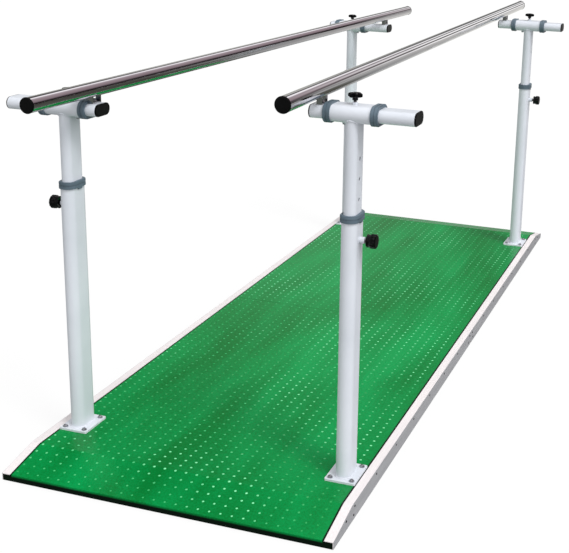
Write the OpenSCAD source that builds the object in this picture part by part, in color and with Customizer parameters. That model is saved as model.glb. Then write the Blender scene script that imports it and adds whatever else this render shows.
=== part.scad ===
// Walking parallel bars for rehabilitation, standing on a ramped walking platform.
// Frame: X across (right positive), Y along the walk (away from the entry end),
// Z up, origin on the floor at the middle of the platform. Millimetres.
// Every piece is drawn for the right-hand side, outward being +X, and mirrored to the left.

/* [Platform] */
// Width of the platform over its edge trims
platform_w = 1000; // [900:10:1200]
// Length of the platform, ramp tip to ramp tip
platform_l = 3000; // [2600:20:4000]
// Height of the walking surface above the floor
deck_h = 50; // [45:1:70]
// Thickness of the deck and ramp boards
board_t = 20; // [15:1:22]
// Thickness of the studded floor mat
mat_t = 2; // [1.5:0.5:3]
// Length of each end ramp
ramp_l = 145; // [120:5:220]
// Gap between the two halves of the platform
half_gap = 1; // [0.5:0.5:3]
// Number of cross bearers under one half of the platform
bearer_count = 5; // [5:1:7]
// Width of a cross bearer
bearer_w = 45; // [40:1:60]
// Thickness of the rubber strip under each bearer
foot_t = 3; // [2:1:5]
// Distance of a rubber strip's long edges from the edges of its bearer
foot_in = 5; // [2:1:8]

/* [Edge trim] */
// Width of the trim's top flange
trim_flange = 26; // [20:1:35]
// Sheet thickness of the trim
trim_t = 2; // [1.5:0.5:3]
// Height of the trim's lower edge above the floor
trim_lift = 1; // [0.5:0.5:3]
// Bevel on the trim's lower corner at the middle joint
trim_bevel = 8; // [4:1:12]
// Number of screws along one side of one half
trim_screw_count = 8; // [5:1:10]
// Distance of the first and the last screw from the ends of the trim's level part
trim_screw_in = 20; // [15:1:30]
// Head diameter of a trim screw
trim_screw_d = 7; // [5:0.5:9]

/* [Posts] */
// Distance from the end of the platform to the centre of a post
post_inset = 300; // [280:10:450]
// Long side of the outer flat-oval tube
outer_long = 85; // [83:1:100]
// Short side of the outer flat-oval tube
outer_short = 45; // [43:1:55]
// Wall of the outer and inner flat-oval tubes
tube_wall = 2; // [1.5:0.25:2.5]
// Length of the outer tube of a post
post_tube_l = 755; // [650:1:850]
// Width of a base plate
plate_w = 90; // [85:1:110]
// Length of a base plate along the walk
plate_l = 115; // [110:1:150]
// Thickness of a base plate
plate_t = 6; // [4:0.5:10]
// Corner radius of a base plate
plate_r = 4; // [2:0.5:8]
// Shank diameter of a base bolt
base_bolt_d = 8; // [6:1:10]
// Distance of a base bolt from the two edges of its plate
base_bolt_edge = 13; // [12:0.5:15]

/* [Height adjustment] */
// Long side of the inner flat-oval tube, used for mast and arm
inner_long = 75; // [70:1:76]
// Short side of the inner flat-oval tube
inner_short = 35; // [32:1:36]
// Spacing of the height holes
hole_pitch = 55; // [45:1:65]
// Number of height holes in a mast
hole_count = 7; // [6:1:8]
// Height hole in use on the left side, counted from the lowest position
left_step = 3; // [0:1:5]
// Height hole in use on the right side, counted from the lowest position
right_step = 4; // [0:1:5]
// Length of a mast below the centre of its lowest height hole
mast_foot = 41; // [38:1:60]
// Height of the glide round the foot of a mast
glide_h = 30; // [22:1:32]
// Depth of the locking pin below the top of the outer tube
pin_drop = 66; // [62:1:80]
// Diameter of the locking pin
pin_d = 10; // [8:0.5:12]
// Travel of the locking pin from clear of the mast to fully home
pin_travel = 8; // [6:0.5:9]
// Outer diameter of the barrel welded to the outer tube
barrel_d = 18; // [16:0.5:20]
// Length of the barrel
barrel_l = 15; // [12:0.5:18]
// Diameter of the locking knob
knob_d = 40; // [36:1:46]
// Length of the locking knob
knob_l = 27; // [25:1:34]
// Number of finger flutes round the locking knob
knob_flutes = 8; // [6:1:10]

/* [Bushes] */
// Thickness of a bush's head round the outer tube
bush_lip = 4; // [3:0.5:6]
// Length of a sleeve bush's head that stands proud of the sleeve
bush_rise = 11.5; // [9:0.5:14]
// Length of a sleeve bush's head that covers the end of the sleeve
bush_cover = 8; // [6:0.5:12]
// Height of a post collar's head that stands proud of the post
collar_rise = 6.5; // [5:0.5:12]
// Height of a post collar's head that covers the top of the post
collar_cover = 13; // [10:0.5:16]
// Width of the tab below a collar's head on each flat side of the post
tab_w = 22; // [16:1:30]
// Height of the tab below a collar's head
tab_h = 5; // [3:0.5:8]
// Length of a bush's or collar's liner inside its tube
bush_liner = 28; // [20:1:28]
// Width of the groove between the two ribs of a bush's head
bush_slit = 3; // [2:0.5:4]
// Depth of the groove between the two ribs of a bush's head
bush_groove = 1.5; // [1:0.25:2]

/* [Width adjustment] */
// Length of a sleeve tube on top of a mast
sleeve_l = 126; // [120:1:150]
// Length of an arm over its end caps
arm_l = 290; // [280:1:330]
// Stroke of an arm in its sleeve
arm_stroke = 100; // [60:5:100]
// How far the front left arm is drawn in from its outer stop
front_left_in = 0; // [0:1:60]
// How far the rear left arm is drawn in from its outer stop
rear_left_in = 79; // [0:1:100]
// How far the front right arm is drawn in from its outer stop
front_right_in = 7; // [0:1:60]
// How far the rear right arm is drawn in from its outer stop
rear_right_in = 28; // [0:1:100]
// Distance of the rail from the inner end of the arm
rail_setback = 25; // [22:1:40]
// Thickness of an arm cap's head
cap_t = 4; // [3:0.5:6]
// Diameter of the star knob
star_d = 40; // [36:1:50]
// Thickness of the star knob's lobes
star_h = 14; // [10:0.5:16]
// Number of lobes on the star knob
star_lobes = 6; // [5:1:8]
// Diameter of the clamp screw below the star knob
clamp_d = 8; // [6:1:10]
// Distance of the travel stop screw from the centre of the post
stop_offset = 28; // [26:1:28]
// Diameter of the travel stop screw
stop_d = 6; // [5:0.5:8]

/* [Handrails] */
// Diameter of a handrail
rail_d = 42; // [38:1:45]
// Wall of a handrail
rail_wall = 1.5; // [1:0.25:3]
// Extra length of a handrail beyond the length of the platform
rail_extra = 40; // [0:10:100]
// Shift of the left handrail away from the entry end
left_shift = 18; // [-40:1:60]
// Shift of the right handrail away from the entry end
right_shift = 48; // [-40:1:60]
// Height of a handrail's centre above the centre of its arms
rail_rise = 57; // [54:1:70]
// Width of a rail bracket across the rail
bracket_w = 16; // [15:1:20]
// Length of a rail bracket along the rail
bracket_l = 40; // [38:1:60]
// Sheet thickness of a rail bracket
bracket_t = 3; // [2:0.5:4]
// How far the head of a rail cap stands out round the rail
rail_cap_lip = 0.7; // [0.2:0.1:1.5]
// Diameter of the bolt that a rail bracket turns on
pivot_d = 8; // [6:1:8]
// Free length of the slot in the rear bracket, along the rail
slot_play = 8; // [6:1:12]

/* [Clearances] */
// Running gap between pieces that move on each other
run_gap = 0.3; // [0.2:0.05:0.5]
// Gap between pieces that are fitted and stay put
fit_gap = 0.1; // [0.05:0.05:0.2]
// Radial gap round a bolt in a plain hole
bolt_gap = 0.5; // [0.3:0.1:1]
// Gap between the mat and the top flange of the trim
mat_gap = 1; // [0.5:0.5:2]
// Gap between a base plate and the edge of the mat
plate_gap = 2; // [1:0.5:5]
// Gap between the sleeve and the collar in the lowest position
stop_gap = 24; // [12:0.5:30]
// Gap between a rail bracket and the sleeve's bush at the outer stop
bracket_gap = 1.5; // [1.5:0.5:3]

/* [Hidden] */
$fn = 48;
eps = 0.01;

// Sides and ends as signs
left = -1;
right = 1;
front = -1;
rear = 1;

// Platform levels and places
board_top = deck_h - mat_t;
board_low = board_top - board_t;
tip_top = board_t + mat_t;
bend_y = platform_l / 2 - ramp_l;
tip_y = platform_l / 2 - mat_t;
mat_w = platform_w - 2 * (trim_flange + mat_gap);
board_w = platform_w - 2 * trim_t;
bearer_span = bend_y - half_gap / 2 - bearer_w;
bearer_step = bearer_span / (bearer_count - 1);

// Post places and levels
post_x = mat_w / 2 - plate_gap - plate_w / 2;
post_y = platform_l / 2 - post_inset;
tube_z = deck_h + plate_t;
tube_top = tube_z + post_tube_l;
pin_z = tube_top - pin_drop;
cavity_long = outer_long - 2 * tube_wall;
cavity_short = outer_short - 2 * tube_wall;

// Mast levels below the centre of its sleeve
sleeve_low = outer_short / 2;
first_hole = pin_drop + collar_rise + stop_gap + sleeve_low;
mast_end = first_hole + (hole_count - 1) * hole_pitch + mast_foot;
function arm_z(side) =
    pin_z + first_hole + (side == left ? left_step : right_step) * hole_pitch;

// Arm places, measured inward from the centre of the post
sleeve_end = sleeve_l / 2 + bush_rise;
rail_out = sleeve_end + bracket_gap + bracket_w / 2;
function drawn_in(side, end) =
    side == left ? (end == front ? front_left_in : rear_left_in)
                 : (end == front ? front_right_in : rear_right_in);
function rail_in(side, end) = rail_out + drawn_in(side, end);
function rail_turn(side) = atan((rail_in(side, rear) - rail_in(side, front)) / (2 * post_y));
function rail_shift(side) = side == left ? left_shift : right_shift;
rail_l = platform_l + rail_extra;
clamp_boss = 0.8 * clamp_d;
clamp_nut_d = 1.875 * clamp_d;
stop_boss = 6;

// Puts a piece drawn for the right side at one of the four posts
module at_post(side, end) {
    translate([side * post_x, end * post_y, 0])
        mirror([side == left ? 1 : 0, 0, 0])
            children();
}

// Puts a piece drawn round the centre of a right-hand arm at one of the four arms
module at_arm(side, end) {
    translate([0, 0, arm_z(side)]) at_post(side, end) children();
}

// Puts a piece drawn along +Y from the front pivot at one of the two rails
module at_rail(side) {
    at_arm(side, front)
        translate([-rail_in(side, front), 0, 0])
            rotate([0, 0, rail_turn(side)])
                children();
}

// Flat oval with its long side along X
module oval(long, short) {
    reach = (long - short) / 2;
    translate([-reach, 0]) circle(d = short);
    translate([reach, 0]) circle(d = short);
    square([2 * reach, short], center = true);
}

// Upright flat-oval bar, long side along Y
module upright(long, short, h) {
    rotate([0, 0, 90]) linear_extrude(h) oval(long, short);
}

// Lying flat-oval bar along +X, long side along Y
module lying(long, short, l) {
    rotate([90, 0, 90]) linear_extrude(l) oval(long, short);
}

// Rounded rectangle made of exact arcs
module rounded(w, l, r) {
    square([w - 2 * r, l], center = true);
    square([w, l - 2 * r], center = true);
    for (x = [-1, 1], y = [-1, 1])
        translate([x * (w / 2 - r), y * (l / 2 - r)]) circle(r = r);
}

// Ribbed plastic bush on the end of an outer tube. The tube ends at z = 0, the
// head covers the tube's rim and its bore guides the inner tube.
module bush(cover, rise) {
    head_long = outer_long + 2 * bush_lip;
    head_short = outer_short + 2 * bush_lip;
    rib = (cover + rise - bush_slit) / 2;
    difference() {
        union() {
            translate([0, 0, -cover]) upright(head_long, head_short, rib);
            translate([0, 0, -cover])
                upright(head_long - 2 * bush_groove, head_short - 2 * bush_groove, cover + rise);
            translate([0, 0, rise - rib])
                upright(head_long, head_short, rib - bush_groove);
        }
        translate([0, 0, -cover - eps])
            upright(outer_long + 2 * fit_gap, outer_short + 2 * fit_gap, cover + eps);
        translate([0, 0, -1])
            upright(inner_long + 2 * run_gap, inner_short + 2 * run_gap, rise + 2);
    }
    difference() {
        translate([0, 0, -bush_liner])
            upright(cavity_long - 2 * fit_gap, cavity_short - 2 * fit_gap, bush_liner + eps);
        translate([0, 0, -bush_liner - 1])
            upright(inner_long + 2 * run_gap, inner_short + 2 * run_gap, bush_liner + 2);
    }
}

// Sweeps a profile drawn in (Y, Z) across the platform, centred on X
module across(w) {
    translate([-w / 2, 0, 0]) rotate([90, 0, 90]) linear_extrude(w) children();
}

// Cross bearers under one half of the deck
module bearers(end) {
    color("tan")
        for (i = [0 : bearer_count - 1])
            translate([0, end * (half_gap / 2 + bearer_w / 2 + i * bearer_step),
                       (foot_t + board_low) / 2])
                cube([board_w, bearer_w, board_low - foot_t], center = true);
}

// Rubber strips under the bearers, apart from the two that share the joint pad
module foot_strips() {
    color("dimgray")
        for (end = [front, rear], i = [1 : bearer_count - 1])
            translate([0, end * (half_gap / 2 + bearer_w / 2 + i * bearer_step), foot_t / 2])
                cube([board_w - 4 * foot_in, bearer_w - 2 * foot_in, foot_t], center = true);
}

// Rubber pad under the joint of the two halves
module joint_pad() {
    color("dimgray")
        translate([0, 0, foot_t / 2]) cube([platform_w - 4, bearer_w + 15, foot_t], center = true);
}

// Holes for the base bolts
module base_holes(z, h) {
    for (side = [left, right], end = [front, rear])
        at_post(side, end) base_bolt_places()
            translate([0, 0, z - 1]) cylinder(d = base_bolt_d + 2 * bolt_gap, h = h + 2);
}

module base_bolt_places() {
    for (x = [-1, 1], y = [-1, 1])
        translate([x * (plate_w / 2 - base_bolt_edge), y * (plate_l / 2 - base_bolt_edge), 0])
            children();
}

// Level board of one half
module deck(end) {
    color("burlywood")
        difference() {
            translate([0, end * (bend_y + half_gap / 2) / 2, board_low + board_t / 2])
                cube([board_w, bend_y - half_gap / 2, board_t], center = true);
            base_holes(board_low, board_t);
        }
}

// Sloping board of one half, bevelled to meet the deck board and the floor
module ramp(end) {
    color("burlywood")
        mirror([0, end == front ? 1 : 0, 0])
            across(board_w)
                polygon([[bend_y, board_low], [tip_y, 0], [tip_y, board_t], [bend_y, board_top]]);
}

// Studded mat of one half, folded down over the tip of the ramp, where the fold
// runs across the full width below the trims
module mat(end) {
    color("green")
        difference() {
            mirror([0, end == front ? 1 : 0, 0]) {
                across(mat_w)
                    polygon([[half_gap / 2, board_top], [bend_y, board_top], [tip_y, board_t],
                             [tip_y, trim_lift], [tip_y + mat_t, trim_lift],
                             [tip_y + mat_t, tip_top], [bend_y, deck_h],
                             [half_gap / 2, deck_h]]);
                across(board_w - 2 * fit_gap)
                    translate([tip_y, trim_lift])
                        square([mat_t, board_t - trim_lift - fit_gap]);
            }
            base_holes(board_top, mat_t);
        }
}

// Folded edge trim along one side of one half: a flange on top of the boards
// and a flange down the side, both following the ramp
module trim(side, end) {
    color("whitesmoke")
        mirror([side == left ? 1 : 0, 0, 0]) mirror([0, end == front ? 1 : 0, 0]) {
            translate([platform_w / 2 - trim_flange, 0, 0])
                rotate([90, 0, 90]) linear_extrude(trim_flange)
                    polygon([[half_gap / 2, board_top], [bend_y, board_top], [tip_y, board_t],
                             [tip_y + mat_t, board_t], [tip_y + mat_t, tip_top],
                             [bend_y, deck_h], [half_gap / 2, deck_h]]);
            difference() {
                translate([platform_w / 2 - trim_t, 0, 0])
                    rotate([90, 0, 90]) linear_extrude(trim_t)
                        polygon([[half_gap / 2, trim_lift + trim_bevel],
                                 [half_gap / 2 + trim_bevel, trim_lift],
                                 [tip_y + mat_t, trim_lift], [tip_y + mat_t, tip_top],
                                 [bend_y, deck_h], [half_gap / 2, deck_h]]);
                trim_screw_places() cylinder(d = trim_screw_d - 2, h = 20, center = true);
            }
        }
}

// Places of the screws along the trim of the right rear quarter, axis along X
module trim_screw_places() {
    last = bend_y - trim_screw_in;
    step = (last - trim_screw_in) / (trim_screw_count - 1);
    for (i = [0 : trim_screw_count - 1])
        translate([platform_w / 2, trim_screw_in + i * step, board_low + board_t / 2])
            rotate([0, 90, 0]) children();
    for (i = [0, bearer_count - 1])
        translate([platform_w / 2, half_gap / 2 + bearer_w / 2 + i * bearer_step + bearer_w / 4,
                   (foot_t + board_low) / 2])
            rotate([0, 90, 0]) children();
    translate([platform_w / 2, bend_y + ramp_l / 3, board_low * 2 / 3 + board_t / 2])
        rotate([0, 90, 0]) children();
}

// Pan-head screws that hold the trims to the boards
module trim_screws() {
    color("dimgray")
        for (sx = [0, 1], sy = [0, 1])
            mirror([sx, 0, 0]) mirror([0, sy, 0])
                trim_screw_places()
                    rotate_extrude()
                        polygon([[0, -trim_t], [trim_screw_d / 2 - 1 - fit_gap, -trim_t],
                                 [trim_screw_d / 2 - 1 - fit_gap, 0], [trim_screw_d / 2, 0],
                                 [trim_screw_d / 2 - 0.6, 1], [1.4, 1.4], [1, 0.8], [0, 0.8]]);
}

// Outer tube with its base plate and the barrel of the locking pin, welded in one
module post(side, end) {
    color("white")
        at_post(side, end)
            difference() {
                union() {
                    translate([0, 0, deck_h])
                        linear_extrude(plate_t) rounded(plate_w, plate_l, plate_r);
                    translate([0, 0, deck_h + plate_t - eps])
                        upright(outer_long, outer_short, post_tube_l + eps);
                    translate([outer_short / 2 - 1, 0, pin_z])
                        rotate([0, 90, 0]) cylinder(d = barrel_d, h = barrel_l + 1);
                }
                translate([0, 0, tube_z])
                    upright(cavity_long, cavity_short, post_tube_l + 1);
                translate([0, 0, pin_z])
                    rotate([0, 90, 0]) cylinder(d = pin_d + 2 * run_gap, h = plate_w);
                base_bolt_places()
                    translate([0, 0, deck_h - 1])
                        cylinder(d = base_bolt_d + 2 * bolt_gap, h = plate_t + 2);
            }
}

// Bolts, washers and nuts that hold the four base plates to the deck
module base_bolts() {
    head_r = base_bolt_d * 0.8;
    washer_r = base_bolt_d;
    top = tube_z + 1.5;
    tail = board_low - 8;
    color("silver")
        for (side = [left, right], end = [front, rear])
            at_post(side, end) base_bolt_places() {
                rotate_extrude()
                    polygon([[0, tail], [base_bolt_d / 2, tail], [base_bolt_d / 2, tube_z],
                             [washer_r, tube_z], [washer_r, top], [head_r, top],
                             [head_r, top + 2], [head_r * 0.8, top + 4],
                             [head_r * 0.45, top + 4.8], [head_r * 0.45, top + 3],
                             [0, top + 3]]);
                translate([0, 0, board_low - 6.5])
                    difference() {
                        cylinder(d = 15, h = 6.5, $fn = 6);
                        translate([0, 0, -1])
                            cylinder(d = base_bolt_d + 2 * fit_gap, h = 9, $fn = 48);
                    }
            }
}

// Bushes on top of the two posts of one side, each with a tab down both flat sides
module collars(side) {
    thick = bush_lip - fit_gap;
    color("slategray")
        for (end = [front, rear])
            at_post(side, end) translate([0, 0, tube_top]) {
                bush(collar_cover, collar_rise);
                for (turn = [0, 180])
                    rotate([0, 0, turn])
                        translate([outer_short / 2 + fit_gap, 0, -collar_cover])
                            rotate([90, 0, 90])
                                linear_extrude(thick)
                                    polygon([[-tab_w / 2, 1], [-tab_w / 2, 0],
                                             [-tab_w / 2 + tab_h / 2, -tab_h],
                                             [tab_w / 2 - tab_h / 2, -tab_h],
                                             [tab_w / 2, 0], [tab_w / 2, 1]]);
            }
}

// Inner tube with its height holes, coped and welded to the sleeve on top
module mast(side, end) {
    color("white")
        at_arm(side, end)
            difference() {
                union() {
                    difference() {
                        translate([0, 0, -mast_end])
                            upright(inner_long, inner_short, mast_end);
                        translate([0, 0, -mast_end - 1])
                            upright(inner_long - 2 * tube_wall, inner_short - 2 * tube_wall,
                                    mast_end + 1);
                        for (i = [0 : hole_count - 1])
                            translate([0, 0, -first_hole - i * hole_pitch])
                                rotate([0, 90, 0])
                                    cylinder(d = pin_d + 2 * bolt_gap, h = plate_w);
                    }
                    translate([-sleeve_l / 2, 0, 0]) lying(outer_long, outer_short, sleeve_l);
                    translate([0, 0, sleeve_low - 0.5])
                        cylinder(d = clamp_nut_d, h = clamp_boss + 0.5, $fn = 6);
                    translate([-stop_offset, 0, -sleeve_low - stop_boss])
                        cylinder(d = 2 * stop_d, h = stop_boss + 0.5);
                }
                translate([-sleeve_l / 2 - 1, 0, 0])
                    lying(cavity_long, cavity_short, sleeve_l + 2);
                cylinder(d = clamp_d + 2 * run_gap, h = outer_short);
                translate([-stop_offset, 0, -outer_short])
                    cylinder(d = stop_d + 2 * fit_gap, h = outer_short);
            }
}

// Bushes at both ends of a sleeve, and the glide on the foot of the mast
module bushes(side, end) {
    color("slategray")
        at_arm(side, end) {
            for (s = [-1, 1])
                translate([s * sleeve_l / 2, 0, 0])
                    rotate([0, s * 90, 0]) bush(bush_cover, bush_rise);
            glide();
        }
}

// Plastic glide that centres the foot of the mast in the outer tube
module glide() {
    difference() {
        translate([0, 0, -mast_end - 3])
            upright(cavity_long - 2 * run_gap, cavity_short - 2 * run_gap, glide_h + 3);
        translate([0, 0, -mast_end])
            upright(inner_long + 2 * fit_gap, inner_short + 2 * fit_gap, glide_h + 1);
    }
    translate([0, 0, -mast_end - eps])
        difference() {
            upright(inner_long - 2 * tube_wall - 2 * fit_gap,
                    inner_short - 2 * tube_wall - 2 * fit_gap, glide_h / 2);
            upright(inner_long - 4 * tube_wall, inner_short - 4 * tube_wall, glide_h);
        }
}

// Screw whose nose runs in the slot of the arm
module stop_screw(side, end) {
    nose = stop_boss + sleeve_low - inner_short / 2 + tube_wall;
    color("silver")
        at_arm(side, end)
            translate([-stop_offset, 0, -sleeve_low - stop_boss]) {
                translate([0, 0, -3]) cylinder(d = 1.7 * stop_d, h = 3);
                cylinder(d = stop_d, h = nose);
            }
}

// Width arm: flat-oval tube with a bolt hole for the rail and a stop slot below
module arm(side, end) {
    tip = rail_in(side, end) + rail_setback;
    slot_in = rail_out + rail_setback - stop_offset;
    color("white")
        at_arm(side, end)
            translate([-tip, 0, 0])
                difference() {
                    translate([cap_t, 0, 0])
                        lying(inner_long, inner_short, arm_l - 2 * cap_t);
                    lying(inner_long - 2 * tube_wall, inner_short - 2 * tube_wall, arm_l);
                    translate([rail_setback, 0, 0])
                        cylinder(d = pivot_d + 2 * run_gap, h = inner_short);
                    translate([slot_in, 0, -inner_short])
                        linear_extrude(inner_short)
                            stop_slot();
                }
}

// Outline of the slot that the stop screw runs in
module stop_slot() {
    w = stop_d + 2 * bolt_gap;
    circle(d = w);
    translate([arm_stroke, 0]) circle(d = w);
    translate([0, -w / 2]) square([arm_stroke, w]);
}

// Plugs in both ends of an arm
module arm_caps(side, end) {
    tip = rail_in(side, end) + rail_setback;
    color("black")
        at_arm(side, end)
            translate([-tip, 0, 0]) {
                arm_cap();
                translate([arm_l, 0, 0]) mirror([1, 0, 0]) arm_cap();
            }
}

// One plug: a rounded head flush with the tube and a hollow spigot inside it
module arm_cap() {
    translate([1.5, 0, 0]) lying(inner_long, inner_short, cap_t - 1.5);
    translate([0.5, 0, 0]) lying(inner_long - 1.5, inner_short - 1.5, 1 + eps);
    lying(inner_long - 4, inner_short - 4, 0.5 + eps);
    translate([cap_t - eps, 0, 0])
        difference() {
            lying(inner_long - 2 * tube_wall - 2 * fit_gap,
                  inner_short - 2 * tube_wall - 2 * fit_gap, 10);
            lying(inner_long - 4 * tube_wall, inner_short - 4 * tube_wall, 11);
        }
}

// Bolt through a bracket and the top of an arm, with its nut inside the arm
module bracket_bolt() {
    top = inner_short / 2;
    seat = top + run_gap + bracket_t + run_gap;
    low = top - tube_wall - run_gap;
    rotate_extrude()
        polygon([[0, low - 8], [pivot_d / 2, low - 8], [pivot_d / 2, low - 6.5],
                 [pivot_d * 0.8, low - 6.5], [pivot_d * 0.8, low], [pivot_d / 2, low],
                 [pivot_d / 2, seat], [pivot_d * 0.8, seat], [pivot_d * 0.8, seat + 2],
                 [pivot_d * 0.55, seat + 4.4], [0, seat + 5]]);
}

// Bolt that the front bracket turns on
module pivot_bolt(side) {
    color("silver")
        at_arm(side, front) translate([-rail_in(side, front), 0, 0]) bracket_bolt();
}

// Bolt that guides the slotted rear bracket
module guide_bolt(side) {
    color("silver")
        at_arm(side, rear) translate([-rail_in(side, rear), 0, 0]) bracket_bolt();
}

// Distance along the rail from the front pivot to the start of the rail
function rail_start(side) = -(rail_l / 2 - post_y) + rail_shift(side);

// Chromed handrail tube
module rail(side) {
    color("silver")
        at_rail(side)
            translate([0, rail_start(side) + cap_t, rail_rise])
                rotate([-90, 0, 0])
                    difference() {
                        cylinder(d = rail_d, h = rail_l - 2 * cap_t);
                        translate([0, 0, -1])
                            cylinder(d = rail_d - 2 * rail_wall, h = rail_l);
                    }
}

// Plugs in both ends of a handrail
module rail_caps(side) {
    color("black")
        at_rail(side)
            translate([0, rail_start(side), rail_rise])
                rotate([-90, 0, 0]) {
                    rail_cap();
                    translate([0, 0, rail_l]) mirror([0, 0, 1]) rail_cap();
                }
}

// One plug with a domed head
module rail_cap() {
    r = rail_d / 2 + rail_cap_lip;
    spigot = rail_d / 2 - rail_wall - fit_gap;
    rotate_extrude()
        polygon([[0, 0], [r - 4, 0], [r - 1.6, 0.6], [r - 0.5, 1.8], [r, cap_t - 1], [r, cap_t],
                 [spigot, cap_t], [spigot, cap_t + 14], [spigot - 2, cap_t + 14],
                 [spigot - 2, cap_t], [0, cap_t]]);
}

// Channel brackets under a handrail: a round hole at the front, a slot at the rear
module brackets(side) {
    color("silver")
        at_rail(side) {
            bracket(0);
            translate([0, 2 * post_y / cos(rail_turn(side)), 0]) bracket(slot_play);
        }
}

// One bracket: a base on the arm and two legs coped to the rail
module bracket(play) {
    low = inner_short / 2 + run_gap;
    hole = pivot_d + 2 * run_gap;
    difference() {
        union() {
            translate([-bracket_w / 2, -bracket_l / 2, low])
                cube([bracket_w, bracket_l, bracket_t]);
            for (y = [-bracket_l / 2, bracket_l / 2 - bracket_t])
                translate([-bracket_w / 2, y, low]) cube([bracket_w, bracket_t, rail_rise - low]);
        }
        translate([0, -bracket_l, rail_rise]) rotate([-90, 0, 0])
            cylinder(d = rail_d, h = 2 * bracket_l, $fn = 96);
        translate([0, -play / 2, low - 1]) cylinder(d = hole, h = bracket_t + 2);
        translate([0, play / 2, low - 1]) cylinder(d = hole, h = bracket_t + 2);
        translate([-hole / 2, -play / 2, low - 1]) cube([hole, play + eps, bracket_t + 2]);
    }
}

// Locking knob with its pin, drawn pulled clear of the mast
module height_knob(side, end) {
    nose = inner_short / 2 + run_gap;
    face = outer_short / 2 + barrel_l + pin_travel - 2;
    r = knob_d / 2;
    at_post(side, end)
        translate([0, 0, pin_z]) rotate([0, 90, 0]) {
            color("black")
                difference() {
                    rotate_extrude()
                        polygon([[0, face], [r * 0.8, face], [r * 0.9, face + 1.5],
                                 [r * 0.9, face + 6], [r * 0.84, face + 8.5],
                                 [r * 0.88, face + 11], [r - 0.6, face + 12.5], [r, face + 14.5],
                                 [r, face + knob_l - 3.5], [r - 1.5, face + knob_l - 1.2],
                                 [r - 5, face + knob_l], [0, face + knob_l]]);
                    translate([0, 0, face - 1])
                        cylinder(d = barrel_d + 2 * run_gap + 1, h = 5);
                    translate([0, 0, face]) cylinder(d = pin_d, h = 16);
                    for (i = [0 : knob_flutes - 1])
                        rotate([0, 0, i * 360 / knob_flutes])
                            translate([r + 1.8, 0, face + 10])
                                cylinder(d = r / 2.6, h = knob_l);
                }
            color("silver")
                rotate_extrude()
                    polygon([[0, nose], [pin_d / 2 - 1.5, nose], [pin_d / 2, nose + 1.5],
                             [pin_d / 2, face + 16], [0, face + 16]]);
        }
}

// Star knob with its clamp screw, tightened on the arm
module star_knob(side, end) {
    tip = inner_short / 2 + run_gap;
    neck = sleeve_low + clamp_boss + 5;
    lobe_d = star_d * 0.24;
    hub_r = star_d * 0.26;
    at_arm(side, end) {
        color("black") {
            translate([0, 0, neck + 4])
                linear_extrude(star_h)
                    union() {
                        circle(r = hub_r);
                        for (i = [0 : star_lobes - 1])
                            rotate(i * 360 / star_lobes) {
                                translate([0, -lobe_d / 2])
                                    square([(star_d - lobe_d) / 2, lobe_d]);
                                translate([(star_d - lobe_d) / 2, 0]) circle(d = lobe_d);
                            }
                    }
            rotate_extrude()
                polygon([[0, neck], [clamp_d * 0.9, neck], [hub_r, neck + 4 + eps],
                         [hub_r, neck + 4 + star_h - eps], [hub_r * 0.75, neck + 6 + star_h],
                         [hub_r * 0.4, neck + 6.6 + star_h], [0, neck + 6.6 + star_h]]);
        }
        color("silver")
            rotate_extrude()
                polygon([[0, tip], [clamp_d / 2 - 1, tip], [clamp_d / 2, tip + 1],
                         [clamp_d / 2, neck], [0, neck]]);
    }
}

bearers(front);  // bearers_front
bearers(rear);  // bearers_rear
foot_strips();
joint_pad();
deck(front);  // deck_front
deck(rear);  // deck_rear
ramp(front);  // ramp_front
ramp(rear);  // ramp_rear
mat(front);  // mat_front
mat(rear);  // mat_rear
trim(left, front);  // trim_front_left
trim(right, front);  // trim_front_right
trim(left, rear);  // trim_rear_left
trim(right, rear);  // trim_rear_right
trim_screws();
post(left, front);  // post_front_left
post(right, front);  // post_front_right
post(left, rear);  // post_rear_left
post(right, rear);  // post_rear_right
base_bolts();
collars(left);  // collars_left
collars(right);  // collars_right
mast(left, front);  // mast_front_left
mast(right, front);  // mast_front_right
mast(left, rear);  // mast_rear_left
mast(right, rear);  // mast_rear_right
bushes(left, front);  // bushes_front_left
bushes(right, front);  // bushes_front_right
bushes(left, rear);  // bushes_rear_left
bushes(right, rear);  // bushes_rear_right
stop_screw(left, front);  // stop_screw_front_left
stop_screw(right, front);  // stop_screw_front_right
stop_screw(left, rear);  // stop_screw_rear_left
stop_screw(right, rear);  // stop_screw_rear_right
arm(left, front);  // arm_front_left
arm(right, front);  // arm_front_right
arm(left, rear);  // arm_rear_left
arm(right, rear);  // arm_rear_right
arm_caps(left, front);  // arm_caps_front_left
arm_caps(right, front);  // arm_caps_front_right
arm_caps(left, rear);  // arm_caps_rear_left
arm_caps(right, rear);  // arm_caps_rear_right
pivot_bolt(left);  // pivot_bolt_left
pivot_bolt(right);  // pivot_bolt_right
guide_bolt(left);  // guide_bolt_left
guide_bolt(right);  // guide_bolt_right
rail(left);  // rail_left
rail(right);  // rail_right
rail_caps(left);  // rail_caps_left
rail_caps(right);  // rail_caps_right
brackets(left);  // brackets_left
brackets(right);  // brackets_right
height_knob(left, front);  // height_knob_front_left
height_knob(right, front);  // height_knob_front_right
height_knob(left, rear);  // height_knob_rear_left
height_knob(right, rear);  // height_knob_rear_right
star_knob(left, front);  // star_knob_front_left
star_knob(right, front);  // star_knob_front_right
star_knob(left, rear);  // star_knob_rear_left
star_knob(right, rear);  // star_knob_rear_right
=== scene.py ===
# %% [markdown]
# # Walking parallel bars
# A pair of chromed handrails stands on four telescoping posts, bolted to a ramped
# platform with a green studded mat. The exact model of every tube, bracket and screw
# comes from the frame, and this lesson gives those pieces their finishes. It adds what
# is too fine for the frame: the studs of the mat, the weld beads and the moulded knobs.

# %% Load the frame
import math
import bmesh
import bpy
import numpy as np
from mathutils import Matrix, Vector


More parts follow.
